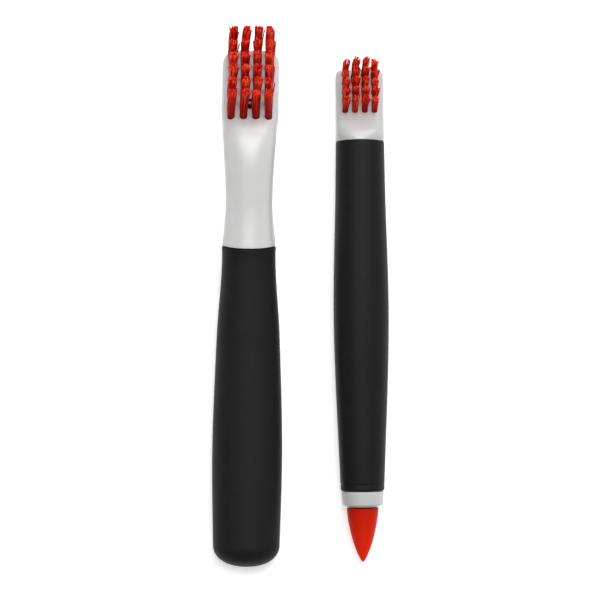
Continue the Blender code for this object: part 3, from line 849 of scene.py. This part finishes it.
# Each nylon ramp runs from a painted shade of deep red, through the filaments' own red, up to a painted
# highlight of pale orange-red.
LARGE_NYLON = nylon(
    "large_nylon_look",
    (0.17, 0.001, 0.001), (0.40, 0.003, 0.002), (0.67, 0.012, 0.005), (0.93, 0.10, 0.045),
)
SMALL_NYLON = nylon(
    "small_nylon_look",
    (0.18, 0.001, 0.001), (0.44, 0.004, 0.002), (0.72, 0.018, 0.006), (0.95, 0.11, 0.045),
)
# The pick's deep colour at its base and bright one at its point are the ends of a painted gradient of
# light.
PICK_RED = pick_plastic("pick_red_look", deep=(0.42, 0.008, 0.001), bright=(0.80, 0.024, 0.004))
# A near-black material painted inside the recesses as the shade that falls in them.
RECESS_PAINTED_SHADE = white_plastic("recess_painted_shade_look", (0.01, 0.01, 0.01), roughness=0.6)
WIRE = wire("anchor_wire_look")


# ---- Wide brush ----------------------------------------------------------------------------------
def large_stretches(rise):
    """The wide brush's spine: a level start, a rise along the grip, the neck, the crest and the head."""
    taper = math.atan2((LARGE_CREST_THICKNESS - LARGE_HEAD.tip_thickness) / 2, LARGE_HEAD.length)
    return (
        (LARGE_LEVEL_LENGTH, 0.0),
        (LARGE_GRIP_LENGTH - LARGE_LEVEL_LENGTH, rise),
        (LARGE_NECK_LENGTH - LARGE_CREST_LENGTH - LARGE_NECK_BEND, 0.0),
        (LARGE_CREST_LENGTH, -(rise + LARGE_CREST_DROP)),
        (LARGE_NECK_BEND, LARGE_CREST_DROP + taper - LARGE_HEAD.tilt),
        (LARGE_HEAD.length, 0.0),
    )


def rise_to_rest():
    """The rise along the grip that lets the head's tip rest on the plane, found by halving."""
    low, high = 0.0, math.radians(30)
    for _ in range(40):
        rise = (low + high) / 2
        _, z, pitch = walk(large_stretches(rise), LARGE_LENGTH)
        if z + LARGE_REST_HEIGHT < LARGE_HEAD.tip_thickness / 2 * math.cos(pitch):
            low = rise
        else:
            high = rise
    return high


LARGE_SPINE = large_stretches(rise_to_rest())


def large_spine(along):
    y, z, pitch = walk(LARGE_SPINE, along)
    return y, z + LARGE_REST_HEIGHT, pitch


def large_stem_rings(start, end, count, clearance=0.0):
    half_width = LARGE_STEM_WIDTH / 2 + clearance
    half_height = LARGE_STEM_THICKNESS / 2 + clearance
    return [
        ring(*large_spine(along), half_width, half_height, NECK_SQUARENESS)
        for along in spread(start, end, count)
    ]


def large_neck_rings():
    widths = (
        (0, LARGE_COLLAR_WIDTH), (LARGE_WAIST_AT, LARGE_WAIST_WIDTH),
        (LARGE_NECK_LENGTH, LARGE_CREST_WIDTH),
    )
    heights = (
        (0, LARGE_COLLAR_THICKNESS), (LARGE_WAIST_AT, LARGE_WAIST_THICKNESS),
        (LARGE_NECK_LENGTH, LARGE_CREST_THICKNESS),
    )
    squares = (
        (0, NECK_SQUARENESS), (CREST_STARTS, NECK_SQUARENESS_AT_CREST),
        (LARGE_NECK_LENGTH, CREST_SQUARENESS),
    )
    edge = LARGE_NECK_EDGE
    stops = [GAP + edge - d for d in reversed(quarter(edge, 5))]
    stops += spread(GAP + edge, LARGE_NECK_LENGTH, 64)[1:-1]
    rings = []
    for past in stops:
        inset = squeeze(past - GAP, edge, edge)
        half_width = smooth_through(widths, past) / 2 - inset
        half_height = smooth_through(heights, past) / 2 - inset
        square = smooth_through(squares, past)
        bow = seam_bow(LARGE_SEAM_BOW, past)
        spine = large_spine(LARGE_GRIP_LENGTH + past)
        rings.append(ring(*spine, half_width, half_height, square, bow=bow))
    return rings


def large_head_rings():
    head = LARGE_HEAD
    taper = (LARGE_CREST_THICKNESS - head.tip_thickness) / 2 / head.length
    stops = spread(head.length, head.corner_length, 22)
    stops += [head.corner_length - d for d in quarter(head.corner_length, 14)]
    stops += [head.edge - d for d in quarter(head.edge, 9)]
    rings = []
    for from_tip in in_order(stops, downwards=True):
        widening = min(1.0, (head.length - from_tip) / HEAD_WIDENS_OVER)
        width = LARGE_CREST_WIDTH + (head.width - LARGE_CREST_WIDTH) * eased(widening)
        inset = squeeze(from_tip, head.edge, head.edge)
        half_width = width / 2 - squeeze(from_tip, head.corner_inset, head.corner_length) - inset
        half_height = head.tip_thickness / 2 + taper * from_tip - inset
        square = CREST_SQUARENESS + (HEAD_SQUARENESS - CREST_SQUARENESS) * widening
        rings.append(ring(*large_spine(LARGE_LENGTH - from_tip), half_width, half_height, square))
    return rings


def large_core_rings():
    stem = large_stem_rings(LARGE_STEM_START, LARGE_GRIP_LENGTH + GAP, 14)
    return stem + large_neck_rings() + large_head_rings()


def large_grip_rings():
    """The grip's outside from its butt to its mouth, and then its bore back to the stem's start."""
    end = LARGE_GRIP_LENGTH
    lip = end - LARGE_LIP_LENGTH
    widths = (
        (0, LARGE_BUTT_WIDTH), (LARGE_GRIP_WIDEST, LARGE_GRIP_WIDTH), (LARGE_TAPER_AT, LARGE_TAPER_WIDTH),
        (lip, LARGE_COLLAR_WIDTH), (end, LARGE_COLLAR_WIDTH),
    )
    heights = (
        (0, LARGE_BUTT_THICKNESS), (LARGE_GRIP_WIDEST, LARGE_GRIP_THICKNESS),
        (LARGE_TAPER_AT, LARGE_TAPER_THICKNESS), (lip, LARGE_COLLAR_THICKNESS),
        (end, LARGE_COLLAR_THICKNESS),
    )
    dome = LARGE_BUTT_DOME
    power = LARGE_BUTT_SQUARENESS
    stops = [dome - d for d in quarter(dome, 26)] + [BUTT_FIRST_RING * dome]
    stops += spread(dome, LARGE_LEVEL_LENGTH, 8) + spread(LARGE_LEVEL_LENGTH, end - GRIP_EDGE, 60)
    stops += [end - GRIP_EDGE + d for d in quarter(GRIP_EDGE, 6)]
    rings = []
    for along in in_order([d for d in stops if d > 0]):
        share = 1.0
        if along < dome:
            share = (1 - (1 - along / dome) ** power) ** (1 / power)
        inset = squeeze(end - along, GRIP_EDGE, GRIP_EDGE)
        lift = LIP_RISE * math.exp(-(((along - end + LIP_FROM_END) / LIP_REACH) ** 4))
        half_width = share * smooth_through(widths, along) / 2 - inset + lift
        half_height = share * smooth_through(heights, along) / 2 - inset + lift
        bow = seam_bow(LARGE_SEAM_BOW, end - along)
        spine = large_spine(along)
        rings.append(ring(*spine, half_width, half_height, GRIP_SQUARENESS, LARGE_REST_HEIGHT, bow=bow))
    return rings + large_stem_rings(end, LARGE_STEM_START - GAP, 16, GAP)


def gate_places(axes):
    """Where the gate recesses are, on the face between its middle columns."""
    left, right = LARGE_FIELD.columns // 2, LARGE_FIELD.columns // 2 + 1
    middle = []
    for row in (1, 2):
        a, b = axes[(row, left)], axes[(row, right)]
        middle.append(((a[0] + b[0]) / 2, (a[1] + b[1]).normalized()))
    (first_foot, first_direction), (second_foot, second_direction) = middle
    found = []
    for row, stretch in GATES:
        foot = first_foot.lerp(second_foot, row - 1)
        direction = first_direction.lerp(second_direction, row - 1).normalized()
        face = on_face(foot, direction, LARGE_FIELD.depth, LARGE_LAID)
        found.append(face @ Matrix.Diagonal((1.0, stretch, 1.0, 1.0)))
    return found


def darken_recess(mesh, matrix):
    """A recess's own faces, down to its floor, take the mesh's second material, a near-black painted
    shade.
    """
    back = matrix.inverted()
    for face in mesh.polygons:
        at = back @ face.center
        inside = -GATE_DEPTH - RECESS_MARGIN < at.z < -RECESS_MARGIN
        if inside and math.hypot(at.x, at.y) < RECESS_REACH:
            face.material_index = 1


def large_core_mesh(axes):
    gates = gate_places(axes)
    holes = tuft_holes(axes, LARGE_FIELD, LARGE_LAID)
    holes += [(gate, GATE_RADIUS, GATE_DEPTH) for gate in gates]
    mesh = carve(skin("large_core_look", large_core_rings()), "large_core_look", hole_pegs(holes))
    mesh.materials.append(LARGE_WHITE)
    # The second material paints shade inside the gate recesses.
    mesh.materials.append(RECESS_PAINTED_SHADE)
    for gate in gates:
        darken_recess(mesh, gate)
    return mesh


# ---- Slim brush ----------------------------------------------------------------------------------
def small_face_height(y):
    behind = (SMALL_LENGTH - y) * math.tan(SMALL_HEAD.tilt)
    return SMALL_BACK_GAP + SMALL_HEAD.tip_thickness + behind


def small_bore_rings(start, end, count, radius):
    return [ring(y, SMALL_AXIS_HEIGHT, 0, radius, radius, ROUND) for y in spread(start, end, count)]


def small_shoulder_rings():
    """From the grip's mouth to the plate of the head, where the face scoops down."""
    start = SMALL_HEAD_START - SMALL_SHOULDER_TUCK
    end = SMALL_HEAD_START + SMALL_SCOOP_LENGTH
    top = SMALL_AXIS_HEIGHT + SMALL_COLLAR_THICKNESS / 2
    low = SMALL_AXIS_HEIGHT - SMALL_COLLAR_THICKNESS / 2
    crest = SMALL_HEAD_START + SHOULDER_CREST_AT
    tops = ((SMALL_HEAD_START, top), (crest, top - SHOULDER_CREST_DROP), (end, small_face_height(end)))
    edge = SMALL_SHOULDER_EDGE
    stops = [start + edge - d for d in reversed(quarter(edge, 5))]
    stops += spread(start + edge, end, 26)[1:-1]
    rings = []
    for y in stops:
        share = max(0.0, y - SMALL_HEAD_START) / SMALL_SCOOP_LENGTH
        inset = squeeze(y - start, edge, edge)
        high = smooth_through(tops, y)
        bottom = low + share * (SMALL_BACK_GAP - low)
        width = SMALL_COLLAR_WIDTH + share * (SMALL_HEAD.width - SMALL_COLLAR_WIDTH)
        square = GRIP_SQUARENESS + share * (HEAD_SQUARENESS - GRIP_SQUARENESS)
        middle = (high + bottom) / 2
        half_height = (high - bottom) / 2 - inset
        chamfer = share * SMALL_CHAMFER
        bow = seam_bow(SMALL_SEAM_BOW, y - SMALL_HEAD_START)
        rings.append(ring(y, middle, 0, width / 2 - inset, half_height, square, middle, chamfer, bow))
    return rings


def small_plate_rings():
    head = SMALL_HEAD
    stops = spread(head.length - SMALL_SCOOP_LENGTH, head.corner_length, 24)
    stops += [head.corner_length - d for d in quarter(head.corner_length, 12)]
    stops += [head.edge - d for d in quarter(head.edge, 8)]
    rings = []
    for from_tip in in_order(stops, downwards=True):
        y = SMALL_LENGTH - from_tip
        inset = squeeze(from_tip, head.edge, head.edge)
        high, bottom = small_face_height(y) - inset, SMALL_BACK_GAP + inset
        middle = (high + bottom) / 2
        half_width = head.width / 2 - squeeze(from_tip, head.corner_inset, head.corner_length) - inset
        half_height = (high - bottom) / 2
        rings.append(ring(y, middle, 0, half_width, half_height, HEAD_SQUARENESS, middle, SMALL_CHAMFER))
    return rings


def small_core_rings():
    stem_end = SMALL_HEAD_START - SMALL_SHOULDER_TUCK
    stem = small_bore_rings(SMALL_GRIP_START, stem_end, 8, SMALL_STEM_RADIUS)
    return stem + small_shoulder_rings() + small_plate_rings()


def small_core_mesh(axes):
    pegs = hole_pegs(tuft_holes(axes, SMALL_FIELD, SMALL_LAID))
    return carve(skin("small_core_look", small_core_rings()), "small_core_look", pegs)


def small_grip_sizes(widest, mouth):
    """The grip's (place, size) points, in width or in height."""
    return (
        (SMALL_GRIP_START, SMALL_GRIP_END_WIDTH), (SMALL_GRIP_START + SMALL_GRIP_WIDEST, widest),
        (SMALL_GRIP_END - SMALL_FLARE_LENGTH, SMALL_FLARE_SHARE * mouth), (SMALL_GRIP_END, mouth),
    )


def small_grip_rings():
    """The grip's outside from its lower end to its mouth, and then its bore back."""
    start, end, edge = SMALL_GRIP_START, SMALL_GRIP_END, GRIP_EDGE
    widths = small_grip_sizes(SMALL_GRIP_WIDTH, SMALL_COLLAR_WIDTH)
    heights = small_grip_sizes(SMALL_GRIP_THICKNESS, SMALL_COLLAR_THICKNESS)
    bead_end = start + BEAD_FINE_LENGTH
    stops = [start + edge - d for d in quarter(edge, 6)]
    stops += spread(start + edge, bead_end, 20) + spread(bead_end, end - edge, 70)
    stops += [end - edge + d for d in quarter(edge, 6)]
    rings = []
    for y in in_order(stops):
        inset = squeeze(y - start, edge, edge) + squeeze(end - y, edge, edge)
        from_groove = y - start - BEAD_LENGTH
        inset += BEAD_GROOVE_DEPTH * math.exp(-((from_groove / BEAD_GROOVE_REACH) ** 2))
        half_width = smooth_through(widths, y) / 2 - inset
        half_height = smooth_through(heights, y) / 2 - inset
        bow = seam_bow(SMALL_SEAM_BOW, end - y)
        axis = SMALL_AXIS_HEIGHT
        rings.append(ring(y, axis, 0, half_width, half_height, GRIP_SQUARENESS, axis, bow=bow))
    return rings + small_bore_rings(end, start, 12, SMALL_STEM_RADIUS + GAP)


def end_collar_profile():
    """The collar with its spigot behind it and its boss in front, round the bore for the shank."""
    boss_end = END_COLLAR_LENGTH + END_BOSS_LENGTH - BOSS_TIP_GAP
    points = [
        (BORE_RADIUS, -SPIGOT_LENGTH),
        (SPIGOT_RADIUS, -SPIGOT_LENGTH),
        (SPIGOT_RADIUS, 0.0),
        (END_COLLAR_RADIUS, 0.0),
        (END_COLLAR_TIP_RADIUS, END_COLLAR_LENGTH),
        (END_BOSS_RADIUS + BOSS_FOOT_EXTRA, END_COLLAR_LENGTH),
        (END_BOSS_RADIUS, boss_end),
        (BORE_RADIUS, boss_end),
    ]
    points = rounded(points, 6, BOSS_ROUNDING, 3)
    points = rounded(points, 4, COLLAR_TIP_ROUNDING)
    return rounded(points, 3, COLLAR_ROUNDING, 3)


def pick_profile():
    """The pick's shank behind it, and its ogive to the point."""
    shank = -(PICK_TO_GRIP + PICK_SHANK_PAST_COLLAR)
    points = [(0.0, shank), (PICK_SHANK_RADIUS, shank), (PICK_SHANK_RADIUS, 0.0)]
    for k in range(PICK_STEPS + 1):
        share = 1 - (1 - k / PICK_STEPS) ** PICK_CROWDING
        radius = PICK_RADIUS * (1 - share**PICK_SLIMNESS) ** PICK_BLUNTNESS
        points.append((radius, share * PICK_LENGTH))
    return rounded(points, 3, PICK_ROUNDING, 3)


# ---- Assembly ------------------------------------------------------------------------------------
def lay_matrix(at, angle):
    return Matrix.Translation((*at, 0)) @ Matrix.Rotation(angle, 4, "Z")


LARGE_LAID = lay_matrix(LARGE_PLACE, LARGE_LAY_ANGLE)
SMALL_LAID = lay_matrix(SMALL_PLACE, SMALL_LAY_ANGLE)


def add_wide_brush(axes):
    place(
        "large_core_look", large_core_mesh(axes), LARGE_LAID,
        "large_brush", LARGE_WHITE, "large_white_plastic", "large_core",
    )
    place(
        "large_grip_look", skin("large_grip_look", large_grip_rings()), LARGE_LAID,
        "large_brush", LARGE_RUBBER, "large_black_rubber", "large_grip",
    )


def add_slim_brush(axes):
    place(
        "small_core_look", small_core_mesh(axes), SMALL_LAID,
        "small_brush", SMALL_WHITE, "small_white_plastic", "small_core",
    )
    place(
        "small_grip_look", skin("small_grip_look", small_grip_rings(), closed=True), SMALL_LAID,
        "small_brush", SMALL_RUBBER, "small_black_rubber", "small_grip",
    )
    collar_at = SMALL_LAID @ Matrix.Translation((0, SMALL_GRIP_START - GAP, SMALL_AXIS_HEIGHT))
    place(
        "small_end_collar_look", lathe("small_end_collar_look", end_collar_profile()), collar_at,
        "small_brush", SMALL_WHITE, "small_white_plastic", "small_end_collar",
    )
    pick_at = SMALL_LAID @ Matrix.Translation((0, PICK_LENGTH, SMALL_AXIS_HEIGHT))
    place(
        "small_pick_tip_look", lathe("small_pick_tip_look", pick_profile()), pick_at,
        "small_brush", PICK_RED, "pick_red", "small_pick_tip",
    )


def add_bristles(prefix, axes, field, fill, material, rng):
    """Each tuft of one brush, and the wire anchor that holds it in its hole."""
    as_made = Matrix.Identity(4)
    for (row, column), axis in axes.items():
        tuft = Tuft(axis, row, column, field, fill, rng)
        name = f"{prefix}_bristles_r{row}_c{column}"
        place(
            name, tuft.mesh(name), as_made, f"{prefix}_brush", material,
            f"{prefix}_red_nylon", f"{prefix}_tuft_r{row}_c{column}",
        )
        name = f"{prefix}_anchor_r{row}_c{column}"
        place(name, tuft.anchor(name), as_made, f"{prefix}_brush", WIRE, f"{prefix}_white_plastic")


large_axes = tuft_axes("large", LARGE_FIELD)
small_axes = tuft_axes("small", SMALL_FIELD)
add_wide_brush(large_axes)
add_slim_brush(small_axes)
rng = random.Random(RANDOM_SEED)
add_bristles("large", large_axes, LARGE_FIELD, LARGE_FILL, LARGE_NYLON, rng)
add_bristles("small", small_axes, SMALL_FIELD, SMALL_FILL, SMALL_NYLON, rng)

# ---- Stage ---------------------------------------------------------------------------------------
FLOOR_SIZE = 3.0
FLOOR_DROP = 0.2 * MM
FLOOR_GLOW = 0.42
WORLD_STRENGTH = 0.15
# A softbox makes the highlight on the wide neck's crest, a key light from the heads' end fills in
# between the tufts, a wide one lights all from above, and two low strips light the sides.
Light = namedtuple("Light", "name at aim width length power")
LIGHTS = (
    Light("softbox_top", (0.005, 0.365, 1.7), (0, 0.06, 0), 0.54, 0.34, 9.6),
    Light("softbox_key", (0.3, 1.0, 1.3), (0, 0.0, 0), 0.9, 0.9, 15.0),
    Light("softbox_wide", (0.3, 0.0, 1.4), (0, 0, 0), 2.2, 2.2, 6.8),
    Light("strip_left", (-1.2, 0.0, 0.25), (0, 0, 0.01), 0.3, 1.6, 2.6),
    Light("strip_right", (1.2, 0.0, 0.25), (0, 0, 0.01), 0.3, 1.6, 3.0),
)
CAMERA_AT = (-0.18 * MM, -1.0 * MM, 1.063)
CAMERA_LENS = 162
CAMERA_SENSOR = 36


def add_floor():
    bm = bmesh.new()
    bmesh.ops.create_grid(bm, x_segments=8, y_segments=8, size=FLOOR_SIZE)
    mesh = smoothed(to_mesh(bm, "floor"))
    made = bpy.data.objects.new("floor", mesh)
    bpy.context.scene.collection.objects.link(made)
    made.location = (0, 0, -FLOOR_DROP)
    m = Nodes("floor_look", (0.9, 0.9, 0.9), roughness=0.9, specular=0.1)
    m.colour(m.ramp(m.noise(scale=3, detail=2), (0.3, (0.89, 0.89, 0.89)), (0.7, (0.91, 0.91, 0.91))))
    m.shader.inputs["Emission Color"].default_value = (1, 1, 1, 1)
    m.shader.inputs["Emission Strength"].default_value = FLOOR_GLOW
    mesh.materials.append(m.material)


def add_world():
    world = bpy.data.worlds.new("studio")
    bpy.context.scene.world = world
    world.use_nodes = True
    background = world.node_tree.nodes["Background"]
    background.inputs["Color"].default_value = (1, 1, 1, 1)
    background.inputs["Strength"].default_value = WORLD_STRENGTH


def add_light(light):
    data = bpy.data.lights.new(light.name, "AREA")
    data.energy = light.power
    data.shape = "RECTANGLE"
    data.size = light.width
    data.size_y = light.length
    made = bpy.data.objects.new(light.name, data)
    bpy.context.scene.collection.objects.link(made)
    made.location = light.at
    made.rotation_euler = (Vector(light.aim) - Vector(light.at)).to_track_quat("-Z", "Y").to_euler()


def add_camera():
    """A long lens straight above the set."""
    camera = bpy.data.cameras.new("camera")
    camera.lens = CAMERA_LENS
    camera.sensor_width = CAMERA_SENSOR
    made = bpy.data.objects.new("camera", camera)
    bpy.context.scene.collection.objects.link(made)
    made.location = CAMERA_AT
    bpy.context.scene.camera = made


add_floor()
add_world()
for light in LIGHTS:
    add_light(light)
add_camera()
bpy.context.scene.view_settings.view_transform = "Standard"
